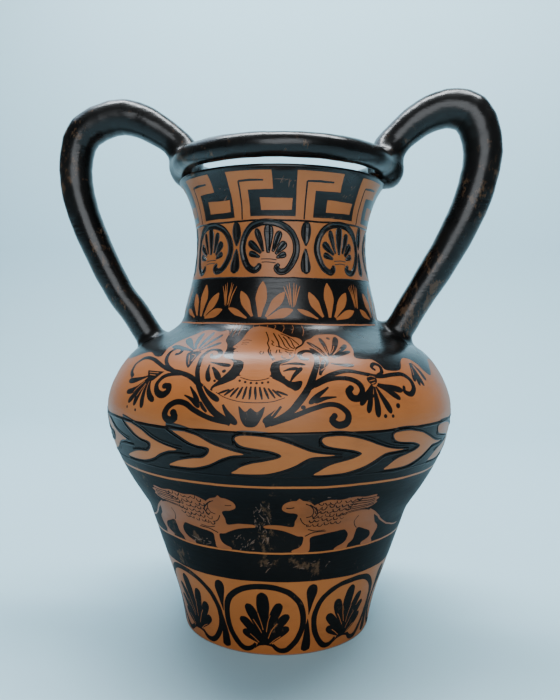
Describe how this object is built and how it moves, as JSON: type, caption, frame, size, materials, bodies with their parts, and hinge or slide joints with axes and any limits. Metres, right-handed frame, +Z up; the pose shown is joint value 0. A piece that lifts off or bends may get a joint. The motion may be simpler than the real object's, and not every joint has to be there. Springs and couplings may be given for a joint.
{
  "type": "painted ceramic amphora",
  "caption": "Wide-bellied clay amphora with two high loop handles, an open flared neck under a raised clay ring, and painted friezes in black on terracotta.",
  "frame": {"origin": "centre of the flat underside", "axes": "+Z up along the vessel's axis, -Y towards the painted front, +X towards the thicker handle"},
  "size_m": [0.4079, 0.3104, 0.4827],
  "materials": {
    "painted_clay": "satin varnish over black and terracotta paint"
  },
  "bodies": {
    "root": {"amphora": "painted_clay"}
  },
  "joints": []
}
